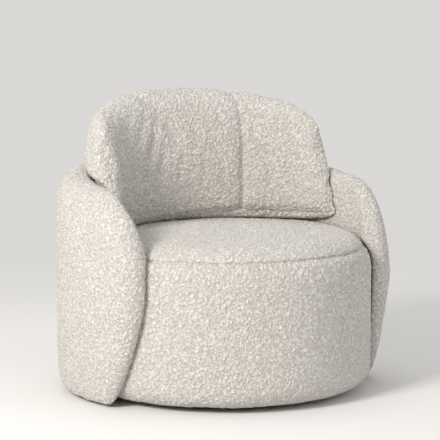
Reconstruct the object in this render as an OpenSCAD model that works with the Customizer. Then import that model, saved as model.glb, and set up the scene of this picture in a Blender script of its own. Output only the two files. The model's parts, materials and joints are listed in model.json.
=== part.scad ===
// Tub chair: a round upholstered seat held in a padded tub, with a lobed back cushion.
// It turns on a concealed ball bearing over a low round plinth.
// Millimetres, Z up. The front faces -Y and the turning axis is the Z axis.
// Angles round the tub are measured from the middle of the back, positive towards +X.

/* [Seat] */
// Radius of the round seat over its cover
seat_r = 373; // [360:1:386]
// Height of the seat's edge above the floor
seat_h = 398; // [386:1:410]
// Rise of the seat's middle over its edge
seat_crown = 12; // [6:1:16]
// Height of the seat's underside above the floor
underside_h = 12; // [11:0.5:13]
// Width of the rounded shoulder of the seat
shoulder_w = 100; // [92:1:106]
// Height of the rounded shoulder of the seat
shoulder_h = 96; // [90:1:102]
// Radius of the rounded foot of the seat
foot_round = 58; // [52:1:60]
// Drop from the seat's edge to the seam between its top and side covers
seam_drop = 35; // [28:1:45]
// Thickness of the looped covers
cover_t = 4; // [3:0.5:5]

/* [Tub shell] */
// Thickness of the padded tub beside the seat
shell_wall = 47; // [42:1:54]
// Extra swell of the tub's outside at the arms
arm_swell = 9; // [6:1:12]
// How far the tub's inner wall leans in over the seat
tub_overhang = 48; // [42:1:54]
// How far in from the seat's side the tub's top edge peaks
crest_inset = 26; // [22:1:30]
// Rise of the tub's top edge over the seat's edge at the back
back_rise = 175; // [150:1:195]
// Rise of the tub's top edge over the seat's edge at the arms
arm_rise = 132; // [115:1:145]
// Drop from the seat's edge to the height where the arms reach furthest forward
nose_drop = 103; // [90:1:112]
// Height of the tub's lower edge above the floor
shell_foot = 6; // [5:0.5:8]
// Angle from the back at which the arms begin to taper
side_angle = 94; // [92:1:96]
// Angle over which the arms taper to their front
nose_angle = 27.5; // [25:0.5:29]
// Thickness of the bent panel inside the tub
board_t = 8; // [6:0.5:9]
// How far outside the seat the bent panel's inner face stands
board_out = 18; // [17:0.5:19]

/* [Back cushion] */
// Rise of the back cushion's middle over the seat's edge
cushion_rise = 343; // [320:1:360]
// Drop from the back cushion's middle to its ends
cushion_drop = 26; // [10:1:40]
// Depth of the back cushion from its flat front to its back
cushion_depth = 198; // [185:1:210]
// Width of the back cushion's ends beside the tub's inner wall
cushion_end_w = 66; // [54:1:74]
// Angle from the middle of the back to each end of the cushion
cushion_angle = 95; // [90:1:97]
// Depth of the two valleys between the three lobes
valley_depth = 14; // [8:1:18]
// Distance of each valley from the cushion's middle
valley_x = 142; // [125:1:155]

/* [Inner frame] */
// Thickness of the round deck under the seat
deck_t = 15; // [12:1:18]
// Thickness of the drum wall
wall_t = 4; // [3:0.5:5]
// Width of the ring that carries the springs
ring_w = 46; // [42:1:50]
// Thickness of the ring that carries the springs
ring_t = 18; // [15:1:21]
// Drop from the seat's edge to the top of the ring that carries the springs
ring_drop = 80; // [76:1:86]
// Thickness of the foam round the drum wall
side_pad = 23; // [20:1:26]
// Number of upright posts
post_count = 8; // [6:1:10]
// Wire diameter of the zigzag springs
spring_d = 3.2; // [2.8:0.1:3.6]
// Distance between the zigzag springs
spring_pitch = 90; // [86:1:96]
// Thickness of the felt pad over the springs
pad_t = 3; // [3:0.5:5]

/* [Swivel] */
// Diameter of the bearing balls
ball_d = 10; // [9:0.5:11]
// Number of bearing balls
ball_count = 24; // [16:1:28]
// Radius of the circle that the balls run on
race_r = 120; // [112:1:128]
// Thickness of the bearing plates
plate_t = 3; // [2.5:0.5:4]

/* [Plinth] */
// Gap between the plinth and the skirt ring round it
plinth_gap = 13; // [10:1:20]
// Thickness of the plinth disc
plinth_t = 18; // [15:1:19]
// Thickness of the glide ring under the plinth
glide_t = 3; // [2:0.5:4]

/* [Hidden] */
// Which node to draw
$fa = 2;
$fs = 1;
full_turn = 360;
half_turn = 180;
right_angle = 90;
overrun = 2;

// Places that follow from the seat
wall_out = seat_r - cover_t - side_pad;
wall_in = wall_out - wall_t;
skirt_inset = 3;
skirt_w = 14;
skirt_out = seat_r - foot_round - skirt_inset;
lip_r = skirt_out - skirt_w;
plinth_r = lip_r - plinth_gap;
seam_h = seat_h - seam_drop;
ring_h = seat_h - ring_drop;
ring_in = wall_in - ring_w;
shell_r = seat_r + shell_wall;
inner_r = seat_r - tub_overhang;
crest_r = seat_r - crest_inset;
board_r = seat_r + board_out;
back_h = seat_h + back_rise;
arm_h = seat_h + arm_rise;
nose_h = seat_h - nose_drop;
cushion_h = seat_h + cushion_rise;
cushion_end_h = cushion_h - cushion_drop;
back_overhang = 8;
cushion_back_r = crest_r + back_overhang;
cushion_face_y = cushion_back_r - cushion_depth;
cushion_end_r = inner_r - cushion_end_w;

// Plinth and bearing, from the floor up
plinth_top = glide_t + plinth_t;
band_t = 1.5;
glide_inset = 15;
glide_w = 34;
glide_out = plinth_r - glide_inset;
glide_in = glide_out - glide_w;
plate_margin = 30;
plate_r = race_r + plate_margin;
lower_top = plinth_top + plate_t;
race_floor = 4;
ball_z = lower_top + race_floor + ball_d / 2;
race_w = 20;
groove_gap = 0.3;
cage_t = 3.2;
cage_gap = 0.4;
cage_w = 16;
race_top = ball_z + ball_d / 2 + race_floor;
deck_z = race_top + plate_t;
hub_r = 30;
screw_d = 5;
screw_head_d = 9;
screw_len = 15;
screw_outset = 20;
screw_circle = race_r + screw_outset;
screw_count = 6;
bolt_d = 8;
bolt_head_d = 13;
bolt_head_h = 4.5;
bolt_inset = 34;
bolt_circle = race_r - bolt_inset;
bolt_count = 4;
nut_flange_d = 20;
nut_flange_t = 1.6;
nut_sleeve_d = 11;
nut_start_share = 1 / 3;

// Frame of the seat
deck_top = deck_z + deck_t;
post_w = 44;
post_t = 24;
post_gap = 2;
dust_t = 0.8;
dust_gap = 4;
pad_z = ring_h + spring_d;
foam_z = pad_z + pad_t;
pad_inset = 18;
pad_r = ring_in - pad_inset;
bend_pitch = 34;
spring_w = 38;
spring_bearing = 6;
clip_w = 14;
clip_l = 13.5;
clip_lap = 3.5;
clip_wall = 1.6;
clip_top = spring_d + clip_wall;
clip_screw_y = 6;
clip_screw_d = 3;
clip_screw_len = 13;
clip_head_d = 5.4;
clip_head_h = 1.2;

// Outline of the seat
shoulder_power = 2.25;
foot_power = 2.3;
arc_steps = 9;
crown_steps = 5;
foot_top = underside_h + foot_round;
shoulder_z = seat_h - shoulder_h;
crown_r = seat_r - shoulder_w;

// Tub shell
seat_gap = 3.2;
shoulder_lift = 8;
foot_out = 13;
tip_out = 8;
foot_r = seat_r + foot_out;
tip_r = seat_r + tip_out;
side_steps = 9;
nose_steps = 6;
crest_power = 1;
taper_power = 8;
nose_top_power = 2.05;
nose_foot_power = 2.25;
swell_start = 60;
swell_span = 40;
back_top_power = 8.5;
arm_top_power = 1.45;
back_foot_power = 12;
arm_foot_power = 1.3;
inner_top_power = 10;
inner_foot_power = 20;
outer_roll_share = 0.39;
inner_roll_share = 0.5;
outer_rise_shares = [-1, -0.985, -0.9, -0.66, -0.3, 0.1, 0.45, 0.72, 0.9, 0.98];
inner_rise_shares = [1, 0.96, 0.84, 0.66, 0.48, 0.34, 0.22, 0.1, -0.4, -0.92];
board_angle = 102;
fine_steps = 360;
board_foot_inset = 36;
board_foot = shell_foot + board_foot_inset;
board_top_inset = 95;
board_back_h = back_h - board_top_inset;
board_arm_inset = 95;
board_arm_h = arm_h - board_arm_inset;
board_side_y = 40;
board_nose_y = 84;
board_corner_share = 2 / 3;
board_nose_foot = 90;
bolt_drop = 120;
bolt_h = nose_h - bolt_drop;
bolt_angles = [-84, -45, 0, 45, 84];
shell_bolt_head_h = 5;

// Back cushion
cushion_gap = 0.4;
tub_gap = 2.6;
cushion_rings = 15;
cushion_sides = 20;
cushion_power = 2.7;
face_power = 6;
cushion_end_power = 5;
end_height_share = 0.35;
valley_w = 26;
valley_fade_rise = 130;
valley_fade_z = seat_h + valley_fade_rise;
valley_fade = 180;
roll_start = 10;
roll_span = 60;
lean_rise = 32;
lean_start = seat_h + lean_rise;
lean_span = 230;
lean_share = 0.14;

// Rounded corner of a unit square, from 1 at x = 0 to 0 at x = 1
function bend(x, power) = pow(max(0, 1 - pow(x, power)), 1 / power);

// Smooth step from 0 to 1
function smooth(x) = (1 - cos(half_turn * min(1, max(0, x)))) / 2;

function blend(a, b, share) = a + (b - a) * share;

// Height of the seat's surface at a radius
function seat_top_z(r) = r < crown_r
    ? seat_h + seat_crown * (1 - pow(r / crown_r, 2))
    : shoulder_z + shoulder_h * bend(min(1, (r - crown_r) / shoulder_w), shoulder_power);

// Radius of the seat's side at a height
function seat_side_r(z) = z < shoulder_z
    ? seat_r
    : crown_r + shoulder_w * bend(min(1, (z - shoulder_z) / shoulder_h), shoulder_power);

// Outline of the seat from its axis, set in by d
function seat_outline(d) = concat(
    [[0, underside_h + d]],
    [for (i = [0:arc_steps]) let (a = right_angle * i / arc_steps) [
        seat_r - foot_round + (foot_round - d) * pow(sin(a), 2 / foot_power),
        foot_top - (foot_round - d) * pow(cos(a), 2 / foot_power)]],
    [for (i = [0:arc_steps]) let (a = right_angle * i / arc_steps) [
        crown_r + (shoulder_w - d) * pow(cos(a), 2 / shoulder_power),
        shoulder_z + (shoulder_h - d) * pow(sin(a), 2 / shoulder_power)]],
    [for (i = [1:crown_steps]) let (r = crown_r * (1 - i / crown_steps)) [
        r, seat_top_z(r) - d]]
);

// How far along the taper an angle is, from 0 to 1
function taper(angle, d) = min(1, max(0, angle - side_angle) / (nose_angle - inset_angle(d)));
function inset_angle(d) = d * half_turn / (PI * tip_r);

// Heights of the tub's top and lower edges at an angle, set in by d
function tub_top_z(angle, d) = angle < side_angle
    ? arm_h - d + (back_h - arm_h) * pow(1 - pow(angle / side_angle, 2), crest_power)
    : blend(nose_h, arm_h - d, bend(taper(angle, d), nose_top_power));
function tub_foot_z(angle, d) =
    blend(nose_h, shell_foot + d, bend(taper(angle, d), nose_foot_power));

// Radius of the tub's inner wall at a height
function tub_wall_r(z) = z > seat_h
    ? inner_r
    : max(inner_r, seat_side_r(z - shoulder_lift) + seat_gap);

// Point on the tub's section at an angle; rise runs from -1 at the foot to 1 at the top
function tub_point(angle, rise, outside, d) = let (
    w = abs(rise),
    t = taper(angle, d),
    arm = smooth((angle - swell_start) / swell_span),
    z = rise > 0
        ? blend(nose_h, tub_top_z(angle, d), rise)
        : blend(nose_h, tub_foot_z(angle, d), -rise),
    top_r = blend(crest_r, tip_r, t),
    low_r = blend(foot_r, tip_r, t),
    middle_r = (top_r + low_r) / 2,
    edge_r = blend(middle_r, rise > 0 ? top_r : low_r, smooth(w)),
    depth = sqrt(1 - pow(t, taper_power)),
    out_r = shell_r + arm_swell * arm - d,
    out_power = rise > 0
        ? blend(back_top_power, arm_top_power, arm)
        : blend(back_foot_power, arm_foot_power, arm),
    in_power = rise > 0 ? inner_top_power : inner_foot_power,
    r = outside
        ? blend(edge_r, out_r, depth * pow(1 - pow(w, out_power), outer_roll_share))
        : blend(edge_r, tub_wall_r(z) + d, depth * pow(1 - pow(w, in_power), inner_roll_share))
) [r, z];

// Place of a point at a radius and height, at an angle from the back
function round_place(angle, p) = [p[0] * sin(angle), p[0] * cos(angle), p[1]];

// Triangles over rings of points, closed at each end by one more point
function loft_faces(rings, sides) = concat(
    [for (i = [0:rings - 2], j = [0:sides - 1]) let (a = i * sides, k = (j + 1) % sides)
        [a + j, a + sides + j, a + k]],
    [for (i = [0:rings - 2], j = [0:sides - 1]) let (a = i * sides, k = (j + 1) % sides)
        [a + k, a + sides + j, a + sides + k]],
    [for (j = [0:sides - 1]) [rings * sides, j, (j + 1) % sides]],
    [for (j = [0:sides - 1]) let (a = (rings - 1) * sides)
        [rings * sides + 1, a + (j + 1) % sides, a + j]]
);

// The tub's whole padded form, set in by d
module tub_form(d) {
    side_angles = [for (i = [0:side_steps]) side_angle * i / side_steps];
    nose_angles = [for (i = [1:nose_steps - 1])
        side_angle + (nose_angle - inset_angle(d)) * sin(right_angle * i / nose_steps)];
    half = concat(side_angles, nose_angles);
    last = len(half) - 1;
    angles = concat([for (i = [last:-1:1]) -half[i]], half);
    end_angle = side_angle + nose_angle - inset_angle(d);
    ring_points = [for (a = angles) concat(
        [for (s = outer_rise_shares) round_place(a, tub_point(abs(a), s, true, d))],
        [for (s = inner_rise_shares) round_place(a, tub_point(abs(a), s, false, d))])];
    points = concat(
        [for (ring = ring_points, p = ring) p],
        [round_place(-end_angle, [tip_r, nose_h]), round_place(end_angle, [tip_r, nose_h])]);
    polyhedron(points, loft_faces(len(angles), len(ring_points[0])));
}

// Height of the back cushion's top at an angle
function cushion_top_z(share) = blend(cushion_h, cushion_end_h, pow(abs(share), 2));

// How deep a valley is at a distance from the middle and a height, from 0 to 1
function valley(x, z) = let (k = (abs(x) - valley_x) / valley_w)
    exp(-k * k) * smooth((z - valley_fade_z) / valley_fade);

// Radius of the cushion's front at an angle: flat across the middle and round the tub at its ends
function cushion_face_r(angle) = cushion_end_r
    / pow(1 + pow(max(0, cos(angle)) * cushion_end_r / cushion_face_y, face_power), 1 / face_power);

// Point on the back cushion's section; share runs from -1 to 1 along it, a turns round it
function cushion_point(share, a, d) = let (
    reach = cushion_angle - d * half_turn / (PI * inner_r),
    end = sqrt(1 - pow(abs(share), cushion_end_power)),
    x = sign(cos(a)) * pow(abs(cos(a)), 2 / cushion_power),
    y = sign(sin(a)) * pow(abs(sin(a)), 2 / cushion_power),
    peak = cushion_top_z(share),
    guess_z = blend(seat_h, peak, (1 + y) / 2),
    placed_angle = reach * share * (1 - lean_share * smooth((guess_z - lean_start) / lean_span)),
    face_r = cushion_face_r(placed_angle),
    plain_r = (face_r + cushion_back_r) / 2 + x * end * (cushion_back_r - face_r) / 2,
    dip = valley_depth * valley(plain_r * sin(placed_angle), guess_z),
    top = peak - dip - d,
    front_r = face_r + dip + d,
    back_r = cushion_back_r - d,
    free_r = (front_r + back_r) / 2 + x * end * (back_r - front_r) / 2,
    middle_z = (top + seat_h) / 2,
    z = y > 0
        ? middle_z + (top - middle_z) * y * blend(end_height_share, 1, end)
        : middle_z + (middle_z - seat_h - d) * y * blend(end_height_share, 1, end),
    crest_z = tub_top_z(abs(placed_angle), 0) - roll_start,
    wall_r = inner_r - tub_gap - d,
    limit_r = blend(wall_r, back_r, smooth((z - crest_z) / roll_span)),
    r = min(free_r, limit_r),
    lowest = seat_top_z(r) + cushion_gap + d,
    sunk = smooth((middle_z - z) / (middle_z - seat_h)),
    settled_z = y > 0 ? z : max(lowest, z + (seat_top_z(r) - seat_h + cushion_gap) * sunk)
) round_place(placed_angle, [r, settled_z]);

// The back cushion's whole form, set in by d
module cushion_form(d) {
    shares = [for (i = [1 - cushion_rings:cushion_rings - 1]) sin(right_angle * i / cushion_rings)];
    ring_points = [for (s = shares)
        [for (j = [0:cushion_sides - 1]) cushion_point(s, full_turn * j / cushion_sides, d)]];
    middles = [for (s = [-1, 1]) (cushion_point(s, 0, d) + cushion_point(s, half_turn, d)) / 2];
    points = concat([for (ring = ring_points, p = ring) p], middles);
    polyhedron(points, loft_faces(len(shares), cushion_sides));
}

// Round wall between two radii and two heights
module hoop(r_in, r_out, z_low, z_high) {
    rotate_extrude()
        translate([r_in, z_low])
            square([r_out - r_in, z_high - z_low]);
}

module disc(r, z_low, z_high) {
    translate([0, 0, z_low])
        cylinder(r = r, h = z_high - z_low);
}

// Copies round the turning axis
module around(count, r, start = 0) {
    for (i = [0:count - 1])
        rotate([0, 0, start + full_turn * i / count])
            translate([r, 0, 0])
                children();
}

module glide_ring() {
    color("#2b2b2b") hoop(glide_in, glide_out, 0, glide_t);
}

module plinth_disc() {
    color("#8a6f4d") difference() {
        disc(plinth_r, glide_t, plinth_top);
        disc(hub_r, glide_t - overrun, plinth_top + overrun);
        lower_screw_shapes();
    }
}

module plinth_band() {
    color("#141414") hoop(plinth_r, plinth_r + band_t, glide_t, plinth_top);
}

// Ring of the bearing with a groove for the balls
module race_ring(z_low, z_high) {
    rotate_extrude() difference() {
        translate([race_r - race_w / 2, z_low])
            square([race_w, z_high - z_low]);
        translate([race_r, ball_z])
            circle(d = ball_d + 2 * groove_gap);
    }
}

module swivel_lower_plate() {
    color("#9a9ca0") difference() {
        disc(plate_r, plinth_top, lower_top);
        disc(hub_r, plinth_top - overrun, lower_top + overrun);
        lower_screw_shapes();
    }
}

module lower_race() {
    color("#7d8085") race_ring(lower_top, ball_z - cage_t / 2 - cage_gap);
}

// Countersunk screws from the lower plate into the plinth
module lower_screw_shapes() {
    around(screw_count, screw_circle) {
        translate([0, 0, lower_top - screw_len])
            cylinder(d = screw_d, h = screw_len);
        translate([0, 0, lower_top - (screw_head_d - screw_d) / 2])
            cylinder(d1 = screw_d, d2 = screw_head_d, h = (screw_head_d - screw_d) / 2);
    }
}

module lower_plate_screws() {
    color("#b8b8ba") lower_screw_shapes();
}

module ball_cage() {
    color("#c9a94e") difference() {
        hoop(race_r - cage_w / 2, race_r + cage_w / 2, ball_z - cage_t / 2, ball_z + cage_t / 2);
        around(ball_count, race_r)
            translate([0, 0, ball_z - cage_t])
                cylinder(d = ball_d, h = 2 * cage_t);
    }
}

module swivel_balls() {
    color("#d8d9dc") around(ball_count, race_r)
        translate([0, 0, ball_z])
            sphere(d = ball_d);
}

module upper_race() {
    color("#7d8085") race_ring(ball_z + cage_t / 2 + cage_gap, race_top);
}

// Bolts from the upper plate up through the deck
module upper_bolt_shapes() {
    around(bolt_count, bolt_circle, half_turn / bolt_count) {
        translate([0, 0, race_top - bolt_head_h])
            cylinder(d = bolt_head_d, h = bolt_head_h);
        translate([0, 0, race_top])
            cylinder(d = bolt_d, h = deck_top + nut_flange_t - race_top);
    }
}

module swivel_upper_plate() {
    color("#9a9ca0") difference() {
        disc(plate_r, race_top, deck_z);
        disc(hub_r, race_top - overrun, deck_z + overrun);
        upper_bolt_shapes();
    }
}

module upper_plate_bolts() {
    color("#6f7175") upper_bolt_shapes();
}

// Flanged nuts sunk into the deck from above
module tee_nut_shapes() {
    around(bolt_count, bolt_circle, half_turn / bolt_count) {
        translate([0, 0, deck_top])
            cylinder(d = nut_flange_d, h = nut_flange_t);
        translate([0, 0, deck_z + nut_start_share * deck_t])
            cylinder(d = nut_sleeve_d, h = (1 - nut_start_share) * deck_t);
    }
}

module tee_nuts() {
    color("#a7a9ad") difference() {
        tee_nut_shapes();
        upper_bolt_shapes();
    }
}

module bottom_deck() {
    color("#c9a777") difference() {
        disc(wall_in, deck_z, deck_top);
        disc(hub_r, deck_z - overrun, deck_top + overrun);
        upper_bolt_shapes();
        tee_nut_shapes();
    }
}

module skirt_ring() {
    color("#c9a777") hoop(lip_r, skirt_out, underside_h + cover_t, deck_z);
}

module dust_cover() {
    color("#222222") hoop(plate_r + dust_gap, lip_r - dust_gap, deck_z - dust_t, deck_z);
}

module frame_posts() {
    color("#d2b182") around(post_count, wall_in - post_gap - post_t / 2, half_turn / post_count)
        translate([-post_t / 2, -post_w / 2, deck_top])
            cube([post_t, post_w, ring_h - ring_t - deck_top]);
}

module drum_wall() {
    color("#a9825a") difference() {
        hoop(wall_in, wall_out, deck_z, ring_h);
        shell_bolt_shapes();
    }
}

// Zigzag springs: where each lies, how many bends it takes and how long it is
function spring_x(i) = spring_pitch * i;
function spring_reach(i) = abs(spring_x(i)) + spring_w / 2;
function spring_span(i) = 2 * (sqrt(pow(ring_in, 2) - pow(spring_reach(i), 2)) + spring_bearing);
function spring_bends(i) = ceil(spring_span(i) / bend_pitch);
function spring_len(i) = bend_pitch * spring_bends(i);
spring_indexes = [-2, -1, 0, 1, 2];
spring_z = ring_h + spring_d / 2;

module spring(i) {
    bends = spring_bends(i);
    translate([spring_x(i), -spring_len(i) / 2, spring_z]) {
        for (k = [0:bends])
            translate([-spring_w / 2, k * bend_pitch, 0])
                rotate([0, right_angle, 0])
                    cylinder(d = spring_d, h = spring_w);
        for (k = [0:bends - 1])
            translate([(k % 2 == 0 ? 1 : -1) * spring_w / 2, (k + 1 / 2) * bend_pitch, 0])
                rotate([0, 0, k % 2 == 0 ? -right_angle : right_angle])
                    rotate_extrude(angle = half_turn)
                        translate([bend_pitch / 2, 0])
                            circle(d = spring_d);
    }
}

module seat_spring_middle() {
    color("#8d9096") spring(0);
}

module seat_springs_inner() {
    color("#8d9096") for (i = [-1, 1])
        spring(i);
}

module seat_springs_outer() {
    color("#8d9096") for (i = [-2, 2])
        spring(i);
}

// Both ends of every spring, with Y pointing outwards
module at_spring_ends() {
    for (i = spring_indexes, end = [-1, 1])
        translate([spring_x(i), end * spring_len(i) / 2, ring_h])
            rotate([0, 0, end > 0 ? 0 : half_turn])
                children();
}

module clip_screw_shapes() {
    at_spring_ends() translate([0, clip_screw_y, 0]) {
        translate([0, 0, clip_top - clip_screw_len])
            cylinder(d = clip_screw_d, h = clip_screw_len);
        translate([0, 0, clip_top])
            cylinder(d = clip_head_d, h = clip_head_h);
    }
}

module spring_clips() {
    color("#b9bbbf") difference() {
        at_spring_ends()
            translate([-clip_w / 2, -clip_lap, 0])
                cube([clip_w, clip_l, clip_top]);
        at_spring_ends() {
            translate([-spring_w / 2, 0, spring_d / 2])
                rotate([0, right_angle, 0])
                    cylinder(d = spring_d, h = spring_w);
            translate([-spring_w / 2, -spring_d / 2, -overrun])
                cube([spring_w, spring_d, overrun + spring_d / 2]);
        }
        clip_screw_shapes();
    }
}

module clip_screws() {
    color("#6f7175") clip_screw_shapes();
}

module seat_ring() {
    color("#c9a777") difference() {
        hoop(ring_in, wall_in, ring_h - ring_t, ring_h);
        clip_screw_shapes();
    }
}

module spring_pad() {
    color("#5d5a55") disc(pad_r, pad_z, foam_z);
}

module seat_section(d) {
    polygon(seat_outline(d));
}

// Everything under a height, for cutting sections
module below(z) {
    square([seat_r + overrun, z]);
}

module seat_foam() {
    color("#e8dcae") rotate_extrude() difference() {
        seat_section(cover_t);
        below(foam_z);
    }
}

module side_foam() {
    color("#e8dcae") difference() {
        rotate_extrude() difference() {
            intersection() {
                seat_section(cover_t);
                below(foam_z);
            }
            square([skirt_out, foam_z]);
            translate([0, deck_z])
                square([wall_out, foam_z - deck_z]);
        }
        shell_bolt_shapes();
    }
}

module seat_top_cover() {
    color("#e9e4da") rotate_extrude() difference() {
        seat_section(0);
        seat_section(cover_t);
        below(seam_h);
    }
}

module seat_side_cover() {
    color("#e9e4da") difference() {
        rotate_extrude() difference() {
            intersection() {
                seat_section(0);
                below(seam_h);
            }
            seat_section(cover_t);
            square([lip_r, seam_h]);
        }
        shell_bolt_shapes();
    }
}

// Bolts from inside the drum wall into the tub's bent panel
module shell_bolt_shapes() {
    for (a = bolt_angles)
        rotate([0, 0, right_angle - a])
            translate([0, 0, bolt_h])
                rotate([0, right_angle, 0]) {
                    translate([0, 0, wall_in - shell_bolt_head_h])
                        cylinder(d = bolt_head_d, h = shell_bolt_head_h);
                    translate([0, 0, wall_in - overrun])
                        cylinder(d = bolt_d, h = board_r + board_t / 2 - wall_in + overrun);
                }
}

module shell_bolts() {
    color("#6f7175") shell_bolt_shapes();
}

// Side outline of the tub's panel, as seen from the side
module board_side() {
    reach = 2 * shell_r;
    rotate([right_angle, 0, right_angle])
        translate([0, 0, -reach / 2])
            linear_extrude(reach)
                polygon([
                    [reach / 2, board_foot], [reach / 2, board_back_h], [board_side_y, board_back_h],
                    [-board_corner_share * board_nose_y, board_arm_h], [-board_nose_y, nose_h],
                    [-board_nose_y, board_nose_foot], [-board_corner_share * board_nose_y, board_foot]
                ]);
}

// The space between two radii inside the panel's outline
module board_zone(r_in, r_out) {
    intersection() {
        rotate([0, 0, right_angle - board_angle])
            rotate_extrude(angle = 2 * board_angle, $fn = fine_steps)
                translate([r_in, board_foot])
                    square([r_out - r_in, board_back_h - board_foot]);
        board_side();
    }
}

module shell_board() {
    color("#b98d5c") difference() {
        board_zone(board_r, board_r + board_t);
        shell_bolt_shapes();
    }
}

module shell_inner_foam() {
    color("#efe3b8") difference() {
        intersection() {
            tub_form(cover_t);
            board_zone(inner_r - overrun, board_r);
        }
        shell_bolt_shapes();
    }
}

module shell_outer_foam() {
    color("#efe3b8") difference() {
        tub_form(cover_t);
        board_zone(inner_r - 2 * overrun, board_r + board_t);
    }
}

module shell_cover() {
    color("#efeae1") difference() {
        tub_form(0);
        tub_form(cover_t);
        shell_bolt_shapes();
    }
}

module back_foam() {
    color("#efe3b8") cushion_form(cover_t);
}

module back_cover() {
    color("#efeae1") difference() {
        cushion_form(0);
        cushion_form(cover_t);
    }
}

glide_ring();
plinth_disc();
plinth_band();
swivel_lower_plate();
lower_race();
lower_plate_screws();
ball_cage();
swivel_balls();
upper_race();
swivel_upper_plate();
upper_plate_bolts();
tee_nuts();
bottom_deck();
skirt_ring();
dust_cover();
frame_posts();
drum_wall();
seat_ring();
seat_spring_middle();
seat_springs_inner();
seat_springs_outer();
spring_clips();
clip_screws();
spring_pad();
seat_foam();
side_foam();
seat_top_cover();
seat_side_cover();
shell_board();
shell_bolts();
shell_inner_foam();
shell_outer_foam();
shell_cover();
back_foam();
back_cover();
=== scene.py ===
"""Tub chair: padded tub, round seat and lobed back cushion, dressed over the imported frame."""

import json
import math

import bmesh
import bpy
from bpy.props import FloatProperty, FloatVectorProperty, PointerProperty
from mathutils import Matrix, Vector, noise

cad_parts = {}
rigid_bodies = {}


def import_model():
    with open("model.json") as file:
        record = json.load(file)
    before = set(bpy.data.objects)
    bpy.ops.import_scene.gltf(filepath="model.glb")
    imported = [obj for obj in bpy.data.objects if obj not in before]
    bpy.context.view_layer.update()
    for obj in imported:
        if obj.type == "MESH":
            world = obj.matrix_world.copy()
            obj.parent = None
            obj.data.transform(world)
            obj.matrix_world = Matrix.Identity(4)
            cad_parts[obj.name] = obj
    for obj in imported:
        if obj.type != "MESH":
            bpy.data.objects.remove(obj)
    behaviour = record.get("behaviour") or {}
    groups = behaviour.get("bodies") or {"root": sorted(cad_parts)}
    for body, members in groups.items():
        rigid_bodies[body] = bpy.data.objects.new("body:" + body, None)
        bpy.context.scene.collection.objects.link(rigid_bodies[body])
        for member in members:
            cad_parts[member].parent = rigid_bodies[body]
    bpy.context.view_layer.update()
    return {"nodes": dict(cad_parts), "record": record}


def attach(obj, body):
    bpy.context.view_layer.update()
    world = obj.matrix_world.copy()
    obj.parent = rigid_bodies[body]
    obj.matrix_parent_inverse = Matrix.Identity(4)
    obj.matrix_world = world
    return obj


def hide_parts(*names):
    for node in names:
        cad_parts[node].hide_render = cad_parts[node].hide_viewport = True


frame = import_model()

bl_info = {
    "name": "Tub chair",
    "version": (1, 0, 0),
    "blender": (4, 5, 0),
    "location": "View3D > Sidebar > Chair",
    "description": "Builds the upholstery, materials and stage of a tub chair over its packed frame",
    "category": "Add Mesh",
}


def length(name, description, default):
    """A size in metres."""
    return FloatProperty(name=name, description=description, default=default, unit="LENGTH", precision=4)


def angle(name, description, degrees):
    """An angle, stored in radians."""
    return FloatProperty(
        name=name, description=description, default=math.radians(degrees), subtype="ANGLE", unit="ROTATION")


def number(name, description, default):
    """A plain number, such as a power or a share."""
    return FloatProperty(name=name, description=description, default=default)


def colour(name, description, default):
    """A colour in scene linear values."""
    return FloatVectorProperty(
        name=name, description=description, default=default, size=3, subtype="COLOR", min=0.0, max=1.0)


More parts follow.
